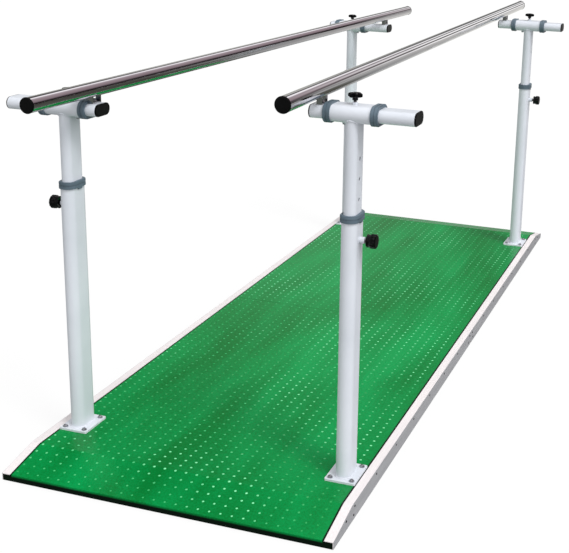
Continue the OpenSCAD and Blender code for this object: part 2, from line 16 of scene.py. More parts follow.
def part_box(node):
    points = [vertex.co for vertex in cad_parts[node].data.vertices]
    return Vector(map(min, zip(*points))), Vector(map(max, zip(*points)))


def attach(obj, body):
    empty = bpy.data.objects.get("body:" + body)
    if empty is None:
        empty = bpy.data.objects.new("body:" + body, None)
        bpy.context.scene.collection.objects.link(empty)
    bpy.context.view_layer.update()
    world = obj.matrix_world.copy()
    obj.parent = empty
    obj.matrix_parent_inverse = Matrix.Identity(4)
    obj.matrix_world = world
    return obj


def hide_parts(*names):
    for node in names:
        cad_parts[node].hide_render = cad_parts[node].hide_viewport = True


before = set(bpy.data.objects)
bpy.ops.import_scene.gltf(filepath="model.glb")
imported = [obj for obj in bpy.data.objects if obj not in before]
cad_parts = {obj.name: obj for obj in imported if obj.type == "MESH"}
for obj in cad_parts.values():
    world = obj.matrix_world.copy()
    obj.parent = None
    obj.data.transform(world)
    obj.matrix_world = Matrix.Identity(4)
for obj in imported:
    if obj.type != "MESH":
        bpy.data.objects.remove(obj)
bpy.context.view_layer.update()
print("nodes in the frame:", len(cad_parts))

# %% [markdown]
# ## The camera
# The photograph was taken from the entry end, about half a metre above the rails and to
# the right. The view is written as a place, three angles and a lens, as on a real tripod.
# The picture is a crop of a larger one, so the lens is shifted as on a view camera.

# %% Place the camera
PICTURE_W = 569
PICTURE_H = 553
FOCAL_PX = 1116.0
CENTRE_PX = (377.5, 210.7)
CAMERA_PLACE = Vector((1.352, -3.885, 1.616))
YAW = -0.3089
PITCH = -0.2718
ROLL = 0.03088
SENSOR_MM = 36.0


def camera_axes(yaw, pitch, roll):
    """Right, up and back of a camera that is turned by yaw, tipped by pitch, then rolled."""
    forward = Vector((math.sin(yaw) * math.cos(pitch), math.cos(yaw) * math.cos(pitch),
                      math.sin(pitch)))
    level = Vector((math.cos(yaw), -math.sin(yaw), 0.0))
    upright = level.cross(forward)
    right = level * math.cos(roll) + upright * math.sin(roll)
    up = upright * math.cos(roll) - level * math.sin(roll)
    return right, up, -forward


lens = bpy.data.cameras.new("lens")
lens.sensor_fit = "HORIZONTAL"
lens.sensor_width = SENSOR_MM
lens.lens = FOCAL_PX * SENSOR_MM / PICTURE_W
lens.shift_x = (PICTURE_W / 2 - CENTRE_PX[0]) / PICTURE_W
lens.shift_y = (CENTRE_PX[1] - PICTURE_H / 2) / PICTURE_W
lens.clip_start = 0.05
lens.clip_end = 200.0
camera = bpy.data.objects.new("camera", lens)
bpy.context.scene.collection.objects.link(camera)
right, up, back = camera_axes(YAW, PITCH, ROLL)
camera.matrix_world = Matrix((
    (right.x, up.x, back.x, CAMERA_PLACE.x),
    (right.y, up.y, back.y, CAMERA_PLACE.y),
    (right.z, up.z, back.z, CAMERA_PLACE.z),
    (0.0, 0.0, 0.0, 1.0)))
bpy.context.scene.camera = camera
print("lens in mm:", round(lens.lens, 1))

# %% [markdown]
# ## Small tools
# A finish in Blender is a little graph of nodes. These helpers add a node and join its
# sockets in one line, so each finish below reads from top to bottom. A surface is a grid
# of points that numpy works out at once, and one helper turns any such grid into a mesh.

# %% Tools for finishes
def new_finish(name):
    """An empty material, with its node tree and its main shader."""
    finish = bpy.data.materials.new(name)
    finish.use_nodes = True
    tree = finish.node_tree
    shader = next(n for n in tree.nodes if n.type == "BSDF_PRINCIPLED")
    return finish, tree, shader


def add(tree, kind, inputs=(), **settings):
    """Adds a node. Inputs are pairs of a socket and a value or another node's output."""
    made = tree.nodes.new(kind)
    for key, value in settings.items():
        setattr(made, key, value)
    for socket, value in inputs:
        if isinstance(value, bpy.types.NodeSocket):
            tree.links.new(value, made.inputs[socket])
        else:
            made.inputs[socket].default_value = value
    return made


def from_hex(code):
    """Linear colour of a screen colour written as six hex digits."""
    parts = [int(code[i:i + 2], 16) / 255 for i in (0, 2, 4)]
    return tuple(p / 12.92 if p <= 0.04045 else ((p + 0.055) / 1.055) ** 2.4
                 for p in parts) + (1.0,)


def noise(tree, scale, detail=2.0, roughness=0.5):
    """Noise over the piece's own Object coordinates. Scale is in waves to a metre."""
    place = add(tree, "ShaderNodeTexCoord")
    made = add(tree, "ShaderNodeTexNoise", [
        ("Vector", place.outputs["Object"]), ("Scale", scale),
        ("Detail", detail), ("Roughness", roughness)])
    return made.outputs["Fac"]


def ramp(tree, value, stops):
    """Colour ramp from (place, hex colour) pairs."""
    made = add(tree, "ShaderNodeValToRGB", [("Fac", value)])
    bar = made.color_ramp
    while len(bar.elements) < len(stops):
        bar.elements.new(0.5)
    for element, (place, code) in zip(bar.elements, stops):
        element.position = place
        element.color = from_hex(code)
    return made.outputs["Color"]


def spread(tree, value, low, high):
    """A value from 0 to 1 stretched to lie between low and high."""
    made = add(tree, "ShaderNodeMapRange", [
        ("Value", value), ("To Min", low), ("To Max", high)])
    return made.outputs["Result"]


def bump(tree, height, depth, strength=1.0):
    """Surface relief, with depth in metres."""
    made = add(tree, "ShaderNodeBump", [
        ("Height", height), ("Distance", depth), ("Strength", strength)])
    return made.outputs["Normal"]


# %% Tools for surfaces
def grid_faces(rows, columns, ring):
    """Quads of a grid of points, closed round its columns if ring is true."""
    wide = columns if ring else columns - 1
    r, c = np.meshgrid(np.arange(rows - 1), np.arange(wide), indexing="ij")
    r, c = r.ravel(), c.ravel()
    after = (c + 1) % columns
    return np.stack([r * columns + c, r * columns + after,
                     (r + 1) * columns + after, (r + 1) * columns + c], axis=1)


def make_mesh(name, points, faces, finish, smooth=True):
    """A mesh object from arrays of points and quads, standing at the origin."""
    mesh = bpy.data.meshes.new(name)
    mesh.from_pydata(points.reshape(-1, 3).tolist(), [], faces.tolist())
    mesh.update()
    mesh.shade_smooth() if smooth else mesh.shade_flat()
    piece = bpy.data.objects.new(name, mesh)
    bpy.context.scene.collection.objects.link(piece)
    mesh.materials.append(finish)
    return piece


def dress(finish, *nodes):
    """Gives a finish to nodes of the frame."""
    for name in nodes:
        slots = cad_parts[name].data.materials
        slots.clear()
        slots.append(finish)


ENDS = ("front", "rear")
SIDES = ("left", "right")
CORNERS = [(end, side) for end in ENDS for side in SIDES]

# %% [markdown]
# ## Powder coat
# The posts, masts and arms are steel tube under a baked, light grey powder coat. Powder
# melts into a skin that is smooth but never flat: it has a shallow ripple like orange
# peel. Fine noise makes that ripple, and slow noise lets the shade drift a little.

# %% Finish of the tubes
def powder_coat():
    """Light grey with a slow drift of shade and a fine ripple."""
    finish, tree, shader = new_finish("powder_coat")
    drift = noise(tree, 6.0, 3.0)
    peel = noise(tree, 520.0, 1.0)
    shade = ramp(tree, drift, [(0.3, "d2d7df"), (0.7, "dce0e8")])
    tree.links.new(shade, shader.inputs["Base Color"])
    tree.links.new(spread(tree, drift, 0.34, 0.42), shader.inputs["Roughness"])
    tree.links.new(bump(tree, peel, 0.00006, 0.6), shader.inputs["Normal"])
    shader.inputs["Coat Weight"].default_value = 0.15
    shader.inputs["Coat Roughness"].default_value = 0.2
    return finish


POWDER = powder_coat()
for end, side in CORNERS:
    dress(POWDER, f"post_{end}_{side}", f"mast_{end}_{side}", f"arm_{end}_{side}")
print("powder-coated nodes:", 3 * len(CORNERS))

# %% [markdown]
# ## Chrome
# The handrails are plated tube, polished like a mirror. A mirror shows the room, so the
# finish itself stays simple. Faint lengthwise polishing lines stretch what it reflects.

# %% Finish of the handrails and brackets
def chrome():
    """Mirror-like metal, with polishing lines stretched along Y."""
    finish, tree, shader = new_finish("chrome")
    place = add(tree, "ShaderNodeTexCoord")
    drawn_out = add(tree, "ShaderNodeMapping", [
        ("Vector", place.outputs["Object"]), ("Scale", (300.0, 1.3, 300.0))])
    lines = add(tree, "ShaderNodeTexNoise", [
        ("Vector", drawn_out.outputs["Vector"]), ("Scale", 1.0), ("Detail", 2.0)])
    tree.links.new(bump(tree, lines.outputs["Fac"], 0.00006, 1.0), shader.inputs["Normal"])
    tree.links.new(spread(tree, noise(tree, 9.0), 0.03, 0.07), shader.inputs["Roughness"])
    tree.links.new(ramp(tree, noise(tree, 5.0), [(0.3, "c8c5c9"), (0.7, "d2d0d3")]),
                   shader.inputs["Base Color"])
    shader.inputs["Metallic"].default_value = 1.0
    return finish


CHROME = chrome()
for side in SIDES:
    dress(CHROME, f"rail_{side}", f"brackets_{side}")
print("chromed nodes:", 2 * len(SIDES))

# %% [markdown]
# ## Moulded plastics
# The ribbed bushes and collars are slate-coloured nylon, the knobs and caps black. Both
# come from a spark-eroded mould, which leaves a fine even grain.

# %% Finishes of the mouldings
def moulded(name, dark, light, smooth, rough, grain_depth, specular=0.5):
    """Plastic or rubber between two shades and two roughnesses, with a fine grain."""
    finish, tree, shader = new_finish(name)
    grain = noise(tree, 1400.0, 2.0)
    drift = noise(tree, 25.0)
    tree.links.new(ramp(tree, drift, [(0.3, dark), (0.7, light)]), shader.inputs["Base Color"])
    tree.links.new(spread(tree, drift, smooth, rough), shader.inputs["Roughness"])
    tree.links.new(bump(tree, grain, grain_depth, 0.5), shader.inputs["Normal"])
    shader.inputs["Specular IOR Level"].default_value = specular
    return finish


SLATE = moulded("slate_nylon", "54646f", "627380", 0.4, 0.5, 0.00004)
BLACK = moulded("black_nylon", "030304", "08080a", 0.3, 0.4, 0.00003, 0.25)
CAP = moulded("black_cap", "040405", "0a0a0c", 0.4, 0.5, 0.00004, 0.2)
dress(SLATE, "collars_left", "collars_right")
for end, side in CORNERS:
    dress(SLATE, f"bushes_{end}_{side}")
    dress(CAP, f"arm_caps_{end}_{side}")
    dress(BLACK, f"height_knob_{end}_{side}", f"star_knob_{end}_{side}")
for side in SIDES:
    dress(CAP, f"rail_caps_{side}")
print("moulded finishes:", SLATE.name, BLACK.name, CAP.name)

# %% [markdown]
# ## Fasteners
# Bolts and screws are zinc plated: a soft grey metal whose crystals show as a faint
# mottle. The trim's screws are darker.

# %% Finishes of the fasteners
def plated(name, dark, light, smooth):
    """Zinc with a mottle of two shades, whose roughness starts at smooth."""
    finish, tree, shader = new_finish(name)
    mottle = noise(tree, 350.0, 3.0)
    tree.links.new(ramp(tree, mottle, [(0.35, dark), (0.65, light)]),
                   shader.inputs["Base Color"])
    tree.links.new(spread(tree, mottle, smooth, smooth + 0.12), shader.inputs["Roughness"])
    shader.inputs["Metallic"].default_value = 1.0
    return finish


ZINC = plated("zinc", "a9acb2", "cfd1d5", 0.25)
DARK_ZINC = plated("dark_zinc", "3c3d42", "5c5d62", 0.35)
dress(ZINC, "base_bolts", "pivot_bolt_left", "pivot_bolt_right",
      "guide_bolt_left", "guide_bolt_right")
dress(DARK_ZINC, "trim_screws")
for end, side in CORNERS:
    dress(ZINC, f"stop_screw_{end}_{side}")
print("plated finishes:", ZINC.name, DARK_ZINC.name)

# %% [markdown]
# ## The platform's finishes
# Under the mat are raw plywood boards on timber battens, standing on black rubber. The
# edge trim is folded aluminium, with a painted reflection that makes its top flange near white.
# The mat is a green sheet of vinyl, mottled by feet, with painted shade along its trim and low
# on the front faces of its tips.

# %% Finishes of boards, rubber and trim
def timber():
    """Raw wood whose grain runs along X."""
    finish, tree, shader = new_finish("timber")
    place = add(tree, "ShaderNodeTexCoord")
    grain_way = add(tree, "ShaderNodeMapping", [
        ("Vector", place.outputs["Object"]), ("Scale", (3.0, 60.0, 60.0))])
    grain = add(tree, "ShaderNodeTexNoise", [
        ("Vector", grain_way.outputs["Vector"]), ("Scale", 1.0), ("Detail", 5.0),
        ("Distortion", 0.6)])
    tree.links.new(ramp(tree, grain.outputs["Fac"],
                        [(0.3, "8f6b40"), (0.5, "b08a5a"), (0.7, "c3a172")]),
                   shader.inputs["Base Color"])
    tree.links.new(bump(tree, grain.outputs["Fac"], 0.0004, 0.4), shader.inputs["Normal"])
    tree.links.new(spread(tree, grain.outputs["Fac"], 0.6, 0.8), shader.inputs["Roughness"])
    return finish


def trim_with_painted_sheen():
    """Painted reflection: the top flange is near white, as if it mirrored a bright sky, and the
    outer side is rolled-metal grey.
    """
    finish, tree, shader = new_finish("trim_with_painted_sheen")
    place = add(tree, "ShaderNodeTexCoord")
    rolled = add(tree, "ShaderNodeMapping", [
        ("Vector", place.outputs["Object"]), ("Scale", (500.0, 5.0, 500.0))])
    lines = add(tree, "ShaderNodeTexNoise", [
        ("Vector", rolled.outputs["Vector"]), ("Scale", 1.0), ("Detail", 2.0)])
    parts = add(tree, "ShaderNodeSeparateXYZ", [(0, place.outputs["Object"])])
    across = add(tree, "ShaderNodeMath", [(0, parts.outputs["X"])], operation="ABSOLUTE")
    side = add(tree, "ShaderNodeMapRange", [
        ("Value", across.outputs["Value"]), ("From Min", TRIM_OUT - SIDE_FROM),
        ("From Max", TRIM_OUT - SIDE_FULL)])
    # The near white of the top flange is a painted reflection. The grey belongs to the outer
    # side, and the mix follows the distance across.
    colour = add(tree, "ShaderNodeMix", [
        (0, side.outputs["Result"]),
        (6, ramp(tree, lines.outputs["Fac"], [(0.3, "e6e0e1"), (0.7, "f4eeee")])),
        (7, ramp(tree, lines.outputs["Fac"], [(0.3, "a6a6aa"), (0.7, "bababe")]))],
        data_type="RGBA")
    tree.links.new(colour.outputs[2], shader.inputs["Base Color"])
    tree.links.new(spread(tree, lines.outputs["Fac"], 0.35, 0.5), shader.inputs["Roughness"])
    tree.links.new(bump(tree, lines.outputs["Fac"], 0.00003, 0.4), shader.inputs["Normal"])
    shader.inputs["Metallic"].default_value = 0.1
    return finish


TRIM_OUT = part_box("trim_rear_right")[1].x
# Where the painted near white of the top gives way to the grey of the outer side.
SIDE_FROM = 0.0008
SIDE_FULL = 0.0002
TIMBER = timber()
RUBBER = moulded("black_rubber", "141416", "202024", 0.6, 0.75, 0.0001)
TRIM = trim_with_painted_sheen()
dress(TIMBER, *[f"{part}_{end}" for part in ("bearers", "deck", "ramp") for end in ENDS])
dress(RUBBER, "foot_strips", "joint_pad")
dress(TRIM, *[f"trim_{end}_{side}" for end, side in CORNERS])
print("half width over the trim:", round(TRIM_OUT, 4))

# %% Finish of the mat
# Painted shade: how far it reaches in from the trim and where it is full, and the heights
# between which the tips' front faces darken from green to near black.
TRIM_SHADE_WIDE = 0.006
TRIM_SHADE_FULL = 0.003
TIP_LIT_ABOVE = 0.02
TIP_SHADED_BELOW = 0.014


def vinyl(name, dark, light, smooth, specular):
    """Green sheet with a slow mottle along the walk, fine grit, and painted shade at its edges.
    """
    finish, tree, shader = new_finish(name)
    place = add(tree, "ShaderNodeTexCoord")
    trodden = add(tree, "ShaderNodeMapping", [
        ("Vector", place.outputs["Object"]), ("Scale", (4.5, 1.1, 1.0))])
    cloudy = add(tree, "ShaderNodeTexNoise", [
        ("Vector", trodden.outputs["Vector"]), ("Scale", 1.0), ("Detail", 3.0)]).outputs["Fac"]
    pebble = noise(tree, 700.0, 2.0)
    grit = noise(tree, 190.0, 1.0)
    tone = add(tree, "ShaderNodeMath", [(0, grit), (1, 0.35), (2, cloudy)],
               operation="MULTIPLY_ADD")
    sheet = ramp(tree, tone.outputs["Value"], [(0.5, dark), (0.85, light)])
    parts = add(tree, "ShaderNodeSeparateXYZ", [(0, place.outputs["Object"])])
    across = add(tree, "ShaderNodeMath", [(0, parts.outputs["X"])], operation="ABSOLUTE")
    # Painted shade: the sheet turns near black within a few millimetres of the trim, where the
    # joint lies in shade.
    by_trim = add(tree, "ShaderNodeMapRange", [
        ("Value", across.outputs["Value"]), ("From Min", MAT_HALF - TRIM_SHADE_WIDE),
        ("From Max", MAT_HALF - TRIM_SHADE_FULL)])
    # Painted shade: the tips' front faces turn from green to near black towards the bottom.
    along = add(tree, "ShaderNodeMath", [(0, parts.outputs["Y"])], operation="ABSOLUTE")
    on_tip = add(tree, "ShaderNodeMath", [(0, along.outputs["Value"]), (1, TIP_FACE)],
                 operation="GREATER_THAN")
    low_on_tip = add(tree, "ShaderNodeMapRange", [
        ("Value", parts.outputs["Z"]), ("From Min", TIP_LIT_ABOVE),
        ("From Max", TIP_SHADED_BELOW)])
    tip = add(tree, "ShaderNodeMath", [
        (0, on_tip.outputs["Value"]), (1, low_on_tip.outputs["Result"])],
        operation="MULTIPLY")
    painted_shade = add(tree, "ShaderNodeMath", [
        (0, by_trim.outputs["Result"]), (1, tip.outputs["Value"])], operation="MAXIMUM")
    # The near black 06140b is painted shade, laid on wherever either mask asks for it.
    colour = add(tree, "ShaderNodeMix", [
        (0, painted_shade.outputs["Value"]), (6, sheet), (7, from_hex("06140b"))], data_type="RGBA")
    tree.links.new(colour.outputs[2], shader.inputs["Base Color"])
    tree.links.new(spread(tree, cloudy, smooth, smooth + 0.08), shader.inputs["Roughness"])
    tree.links.new(bump(tree, pebble, 0.00012, 0.5), shader.inputs["Normal"])
    shader.inputs["Specular IOR Level"].default_value = specular
    return finish


TRIM_COVER = 0.027
MAT_HALF = TRIM_OUT - TRIM_COVER
TIP_DEPTH = 0.001
TIP_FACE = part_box("mat_rear")[1].y - TIP_DEPTH
VINYL = vinyl("green_vinyl", "006f2c", "00944a", 0.22, 0.12)
dress(VINYL, "mat_front", "mat_rear")


def stud_tops_painted_glint():
    """The studs' tops, painted paler in patches as painted highlights where a bright room would
    glint on them, and smoother there.
    """
    finish, tree, shader = new_finish("stud_tops_painted_glint")
    glint_patches = noise(tree, 2.6, 2.0)
    # Painted highlight: the pale greens stand in for glints on the studs' tops.
    tree.links.new(ramp(tree, glint_patches, [(0.36, "139a4c"), (0.5, "34b56c"), (0.64, "7be6a6")]),
                   shader.inputs["Base Color"])
    tree.links.new(spread(tree, glint_patches, 0.3, 0.12), shader.inputs["Roughness"])
    tree.links.new(bump(tree, noise(tree, 700.0), 0.0001, 0.4), shader.inputs["Normal"])
    return finish


STUD_GLINT_VINYL = stud_tops_painted_glint()
print("half width of the open mat:", round(MAT_HALF, 4))

# %% [markdown]
# ## Places that the pieces share
# The frame says where each post and each arm is. The places below are read from its
# boxes once, and the sizes of the plates and tubes are written beside them, so that the
# studs, weld beads and knobs all sit on the true pieces.

# %% Read the places
COLLAR_LOW, COLLAR_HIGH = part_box("collars_right")
POST_X = (COLLAR_LOW.x + COLLAR_HIGH.x) / 2
PIN_LOW, PIN_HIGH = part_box("height_knob_front_right")
PIN_Z = (PIN_LOW.z + PIN_HIGH.z) / 2
POST_Y = -(PIN_LOW.y + PIN_HIGH.y) / 2
MAT_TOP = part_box("mat_rear")[1].z
PLATE_THICK = 0.006
PLATE_TOP = MAT_TOP + PLATE_THICK
PLATE_HALF = (0.045, 0.0575)
OUTER_LONG = 0.085
OUTER_SHORT = 0.045
INNER_LONG = 0.075
INNER_SHORT = 0.035
WAY = {"left": -1.0, "right": 1.0, "front": -1.0, "rear": 1.0}


def arm_height(end, side):
    """Height of the middle of an arm, which is also the middle of its sleeve."""
    low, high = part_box(f"arm_{end}_{side}")
    return (low.z + high.z) / 2


print("post at", round(POST_X, 3), round(POST_Y, 3), "pin height", round(PIN_Z, 3))

# %% [markdown]
# ## Studs of the mat
# The sheet is embossed with small round studs in a nearly square net, for a good grip.
# Each stud is a low dome. One dome is a grid of rings and spokes, and numpy copies it
# to every place of the net in one sum. On a ramp the domes tilt with the slope.

# %% Emboss the mat
STUD_ACROSS = 0.0333
STUD_ALONG = 0.0312
STUD_START = (0.005, 0.0155)
STUD_R = 0.004
STUD_H = 0.0011
STUD_SINK = 0.0001
STUD_RINGS = np.array([1.0, 0.8, 0.42])
STUD_SPOKES = 8
STUD_EDGE = 0.008
PLATE_CLEAR = 0.006
RAMP_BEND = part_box("ramp_rear")[0].y
RAMP_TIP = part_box("ramp_rear")[1].y
TIP_TOP = 0.022
SLOPE = (MAT_TOP - TIP_TOP) / (RAMP_TIP - RAMP_BEND)


def stud_places(end):
    """Centres of the studs of one half, in a net over the mat, less those under plates."""
    low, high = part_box(f"mat_{end}")
    across = np.arange(-40, 41) * STUD_ACROSS + STUD_START[0]
    along = np.arange(-70, 71) * STUD_ALONG + STUD_START[1]
    x, y = np.meshgrid(across, along, indexing="ij")
    x, y = x.ravel(), y.ravel()
    keep = np.abs(x) < MAT_HALF - STUD_EDGE
    keep &= (y > low.y + STUD_EDGE) & (y < high.y - STUD_EDGE)
    reach = STUD_R + PLATE_CLEAR
    near_x = np.abs(np.abs(x) - POST_X) < PLATE_HALF[0] + reach
    near_y = np.abs(np.abs(y) - POST_Y) < PLATE_HALF[1] + reach
    keep &= ~(near_x & near_y)
    return x[keep], y[keep]


def studs(end):
    """Domes: the height falls from STUD_H as one minus the square of the radius."""
    x, y = stud_places(end)
    beyond = np.maximum(np.abs(y) - RAMP_BEND, 0.0)
    z = MAT_TOP - beyond * SLOPE
    lean = np.where(beyond > 0, SLOPE, 0.0) * np.sign(y)
    turn = np.arange(STUD_SPOKES) * 2 * np.pi / STUD_SPOKES
    dx = (STUD_RINGS[:, None] * np.cos(turn)).ravel() * STUD_R
    dy = (STUD_RINGS[:, None] * np.sin(turn)).ravel() * STUD_R
    dz = np.repeat((1 - STUD_RINGS ** 2) * STUD_H, STUD_SPOKES) - STUD_SINK
    points = np.stack([x[:, None] + dx, y[:, None] + dy,
                       z[:, None] + dz - lean[:, None] * dy], axis=2)
    quads = grid_faces(len(STUD_RINGS), STUD_SPOKES, True)
    crown = np.arange(STUD_SPOKES) + (len(STUD_RINGS) - 1) * STUD_SPOKES
    steps = np.arange(len(x)) * points.shape[1]
    sides = (quads[None] + steps[:, None, None]).reshape(-1, 4)
    tops = crown[None] + steps[:, None]
    mesh = bpy.data.meshes.new(f"studs_{end}")
    mesh.from_pydata(points.reshape(-1, 3).tolist(), [], sides.tolist() + tops.tolist())
    mesh.update()
    mesh.shade_smooth()
    piece = bpy.data.objects.new(f"studs_{end}", mesh)
    bpy.context.scene.collection.objects.link(piece)
    mesh.materials.append(STUD_GLINT_VINYL)
    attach(piece, "platform")
    print(piece.name, "studs:", len(x))
    return piece


for end in ENDS:
    studs(end)

# %% [markdown]
# ## Weld beads
# Each post is welded to its plate and each sleeve to its mast, all round. A bead is a
# soft rope of metal with fine ripples, left there by the torch. It is a small circle
# carried along the seam, whose radius swells and shrinks a little on the way.

# %% Lay the weld beads
BEAD_R = 0.0026
BEAD_RIPPLE = 0.1
BEAD_PITCH = 0.0032
BEAD_STEPS = 220
BEAD_SIDES = 8
BEAD_LIFT = 0.0004


def oval_seam(long, short, steps):
    """Points and outward ways round a flat oval, at even steps: half circle, straight,
    half circle, straight. The long side lies along Y."""
    r = short / 2
    run = long - short
    arc = math.pi * r
    s = np.arange(steps) / steps * 2 * (arc + run)
    half = s >= arc + run
    t = np.where(half, s - arc - run, s)
    on_arc = t < arc
    angle = np.where(on_arc, t / r, math.pi)
    x = r * np.cos(angle)
    y = np.where(on_arc, run / 2 + r * np.sin(angle), run / 2 - (t - arc))
    flip = np.where(half, -1.0, 1.0)
    out = np.stack([np.cos(angle), np.where(on_arc, np.sin(angle), 0.0)], axis=1)
    return np.stack([x, y], axis=1) * flip[:, None], out * flip[:, None], s


def bead(name, seam, out, s, body):
    """A circle of radius BEAD_R swept along a closed seam, rippled by a cosine of the way s."""
    turn = np.arange(BEAD_SIDES) * 2 * np.pi / BEAD_SIDES
    swell = BEAD_R * (1 + BEAD_RIPPLE * np.cos(2 * np.pi * s / BEAD_PITCH))
    side = out[:, None, :] * np.cos(turn)[None, :, None]
    rise = np.array([0.0, 0.0, 1.0]) * np.sin(turn)[None, :, None]
    points = seam[:, None, :] + swell[:, None, None] * (side + rise)
    closed = np.concatenate([points, points[:1]])
    piece = make_mesh(name, closed, grid_faces(len(closed), BEAD_SIDES, True), POWDER)
    close_seams(piece)
    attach(piece, body)
    return piece


def close_seams(piece):
    """Merges the doubled points of a closed grid and turns its faces outwards."""
    work = bmesh.new()
    work.from_mesh(piece.data)
    bmesh.ops.remove_doubles(work, verts=work.verts, dist=1e-7)
    bmesh.ops.recalc_face_normals(work, faces=work.faces)
    work.to_mesh(piece.data)
    work.free()
    piece.data.shade_smooth()


def foot_bead(end, side):
    """Bead between a base plate and its tube."""
    flat, out, s = oval_seam(OUTER_LONG, OUTER_SHORT, BEAD_STEPS)
    seam = np.column_stack([flat[:, 0] + WAY[side] * POST_X, flat[:, 1] + WAY[end] * POST_Y,
                            np.full(len(flat), PLATE_TOP + BEAD_LIFT)])
    bead(f"foot_bead_{end}_{side}", seam, np.column_stack([out, np.zeros(len(out))]), s,
         "platform")


def sleeve_bead(end, side):
    """Bead where the mast meets the underside of its sleeve, which is round at its edges."""
    flat, out, s = oval_seam(INNER_LONG, INNER_SHORT, BEAD_STEPS)
    round_from = (OUTER_LONG - OUTER_SHORT) / 2
    over = np.maximum(np.abs(flat[:, 1]) - round_from, 0.0)
    under = -np.sqrt((OUTER_SHORT / 2) ** 2 - over ** 2)
    seam = np.column_stack([flat[:, 0] + WAY[side] * POST_X, flat[:, 1] + WAY[end] * POST_Y,
                            under + arm_height(end, side)])
    bead(f"sleeve_bead_{end}_{side}", seam, np.column_stack([out, np.zeros(len(out))]), s,
         f"lift_{end}_{side}")


for end, side in CORNERS:
    foot_bead(end, side)
    sleeve_bead(end, side)
print("weld beads:", 2 * len(CORNERS))

# %% [markdown]
# ## Moulded knobs
# The star knob clamps the arm, and the fluted knob pulls the locking pin. Both are
# mouldings with no sharp edge anywhere. A knob is one closed surface: a profile turned
# about its axis, whose radius also swings with the angle to make lobes or flutes.

# %% Shape the knobs
KNOB_SPOKES = 96


def turned(name, heights, radii, swing, lobes, sharp, axis, start, finish):
    """A surface of revolution whose radius is radii plus swing times a wave. The wave is
    half of one plus the cosine of lobes times the angle, raised to sharp and stretched to
    lie from -1 to 1. The profile runs from pole to pole along axis from start."""
    angle = np.arange(KNOB_SPOKES) * 2 * np.pi / KNOB_SPOKES
    wave = 0.5 + 0.5 * np.cos(lobes * angle)
    wave = 2 * wave ** sharp - 1
    radius = radii[:, None] + swing[:, None] * wave[None, :]
    a = radius * np.cos(angle)
    b = radius * np.sin(angle)
    h = np.repeat(heights[:, None], KNOB_SPOKES, axis=1)
    along, across, third = axis
    points = (np.array(start) + h[..., None] * np.array(along)
              + a[..., None] * np.array(across) + b[..., None] * np.array(third))
    piece = make_mesh(name, points, grid_faces(len(heights), KNOB_SPOKES, True), finish)
    close_seams(piece)
    return piece


STAR_R = 0.0152
STAR_SWING = 0.0048
STAR_H = 0.0206
STAR_NECK = 0.0075
STAR_NECK_SHORT = 0.001
STAR_UNDER = 0.0068
STAR_ROUND_BELOW = 0.0035
STAR_ROUND_ABOVE = 0.005
STAR_LOBES = 6
STEM_R = 0.004
STEM_BEVEL = 0.001
UP_AXES = ((0, 0, 1), (1, 0, 0), (0, 1, 0))


def star_grip(end, side):
    """Lobed grip on its screw, rounded below by a quarter ellipse and above by a dome
    whose radius is a cosine raised to 0.6, which is flatter on top."""
    low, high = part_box(f"star_knob_{end}_{side}")
    x, y = WAY[side] * POST_X, WAY[end] * POST_Y
    grip_low = high.z - STAR_H
    t = np.linspace(0.0, np.pi / 2, 9)
    neck_h = np.array([0.0, 0.0, STAR_UNDER - STAR_NECK_SHORT])
    neck_r = np.array([0.0, STAR_NECK, STAR_NECK])
    under_h = STAR_UNDER + STAR_ROUND_BELOW - STAR_ROUND_BELOW * np.cos(t)
    under_r = STAR_NECK + (STAR_R - STAR_NECK) * np.sin(t)
    over_h = STAR_H - STAR_ROUND_ABOVE + STAR_ROUND_ABOVE * np.sin(t)
    over_r = STAR_R * np.cos(t) ** 0.6
    heights = np.concatenate([neck_h, under_h, over_h])
    radii = np.concatenate([neck_r, under_r, over_r])
    fullness = np.concatenate([[0, 0, 0], np.sin(t) ** 1.5, np.cos(t) ** 1.5])
    grip = turned(f"star_grip_{end}_{side}", heights, radii, fullness * STAR_SWING,
                  STAR_LOBES, 1.0, UP_AXES, (x, y, grip_low), BLACK)
    reach = grip_low + STEM_BEVEL - low.z
    stem_h = np.array([0.0, 0.0, STEM_BEVEL, reach, reach])
    stem_r = np.array([0.0, STEM_R - STEM_BEVEL, STEM_R, STEM_R, 0.0])
    stem = turned(f"clamp_stem_{end}_{side}", stem_h, stem_r, stem_r * 0, 1, 1.0, UP_AXES,
                  (x, y, low.z), ZINC)
    for piece, slot in ((grip, "black_plastic"), (stem, "zinc")):
        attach(piece, f"clamp_{end}_{side}")
    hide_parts(f"star_knob_{end}_{side}")


for end, side in CORNERS:
    star_grip(end, side)

# %% Shape the pin knobs
PIN_R = 0.005
NECK_HOLE_R = 0.0098
NECK_HOLE_DEEP = 0.004
NECK_EDGE_DEEP = 0.0008
NECK_EDGE_WIDE = 0.0006
KNOB_LONG = 0.027
KNOB_R = 0.0192
KNOB_FLANGE = 0.018
KNOB_WAIST = 0.0168
KNOB_DRUM = 0.0125
KNOB_FLUTE = 0.0008
KNOB_FLUTES = 12
KNOB_LIP = 0.0015
KNOB_RIM = 0.0045
WAIST_FROM = 0.0025
PIN_BEVEL = 0.0015


